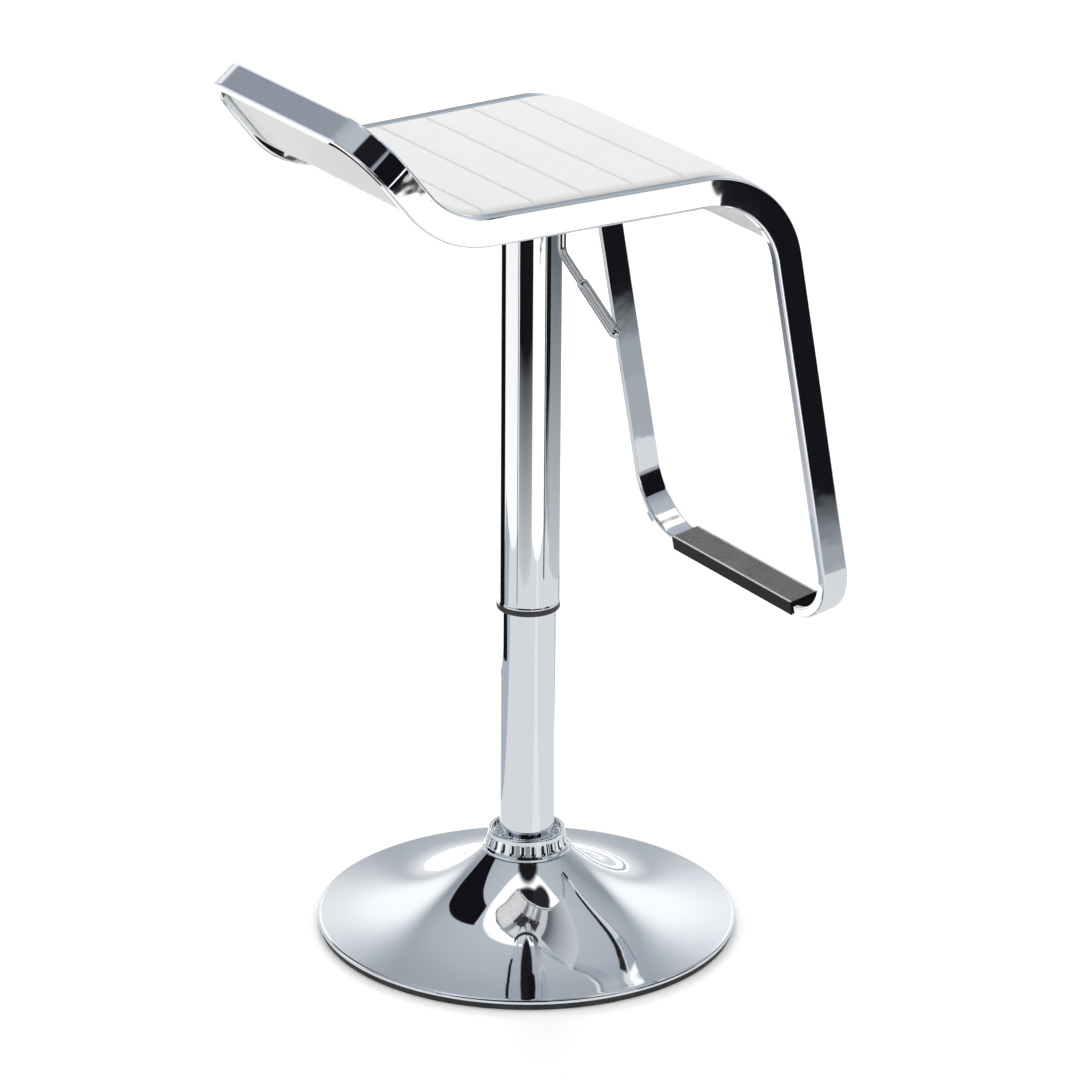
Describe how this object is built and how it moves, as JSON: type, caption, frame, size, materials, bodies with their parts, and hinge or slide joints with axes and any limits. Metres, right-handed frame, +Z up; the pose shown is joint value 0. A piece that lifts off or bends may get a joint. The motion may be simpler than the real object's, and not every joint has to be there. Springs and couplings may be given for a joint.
{
  "type": "adjustable swivel stool",
  "caption": "Swivel bar stool with a gas-lift column on a round trumpet base, a bent flat-strip frame forming low back and footrest, and a padded seat.",
  "frame": {"origin": "on the floor, under the middle of the stool's outline", "axes": "+Z up along the column, -Y the way the sitter faces, release lever on the -X side"},
  "size_m": [0.3848, 0.5068, 0.8276],
  "materials": {
    "chrome": "polished chrome plate",
    "steel": "plain machined steel",
    "black_steel": "black powder coat",
    "rubber": "matt black rubber",
    "black_plastic": "moulded black plastic",
    "white_plastic": "moulded white plastic",
    "plywood": "bent plywood, covered",
    "white_leather": "grained white imitation leather"
  },
  "bodies": {
    "base": {"floor_ring": "rubber", "base_shell": "chrome", "ballast_ring": "black_steel", "neck_plate": "steel", "column_nut": "steel", "column_collar": "chrome", "stand_tube": "chrome", "tube_end_plate": "steel", "guide_bush": "white_plastic", "lower_race": "steel"},
    "cage": {"ball_cage": "steel"},
    "rod": {"piston_rod": "steel", "piston": "steel", "upper_race": "steel", "rubber_buffer": "rubber", "rod_washer": "steel", "retaining_clip": "steel"},
    "seat": {"gas_cylinder": "black_steel", "cylinder_gland": "black_plastic", "cover_tube": "chrome", "glide_ring": "black_plastic", "seat_hub": "black_steel", "pivot_pin": "steel", "seat_plate": "black_steel", "front_rail": "steel", "rear_rail": "steel", "seat_bolt_1": "steel", "seat_bolt_2": "steel", "seat_bolt_3": "steel", "seat_bolt_4": "steel", "frame_loop": "chrome", "seat_board": "plywood", "seat_pad": "white_leather", "footrest_tread": "rubber"},
    "lever": {"lever_rod": "chrome", "lever_grip": "chrome"},
    "valve": {"valve_pin": "steel"}
  },
  "joints": [
    {"name": "swivel", "type": "hinge", "parent": "base", "child": "rod", "pos_m": [0, -0.00206, 0.04], "axis": [0, 0, 1], "continuous": true},
    {"name": "cage_spin", "type": "hinge", "parent": "base", "child": "cage", "pos_m": [0, -0.00206, 0.0415], "axis": [0, 0, 1], "continuous": true},
    {"name": "lift", "type": "slide", "parent": "rod", "child": "seat", "axis": [0, 0, 1], "range_m": [-0.2, 0]},
    {"name": "lever_pivot", "type": "hinge", "parent": "seat", "child": "lever", "pos_m": [-0.021, -0.00206, 0.705], "axis": [0, 1, 0], "range_deg": [0, 6], "stiffness_Nm_per_rad": 2},
    {"name": "valve_press", "type": "slide", "parent": "seat", "child": "valve", "axis": [0, 0, 1], "range_m": [-0.0025, 0]}
  ],
  "couplings": [
    {"joint": "cage_spin", "follows": "swivel", "ratio": 0.5},
    {"joint": "valve_press", "follows": "lever_pivot", "m_per_rad": -0.021}
  ]
}
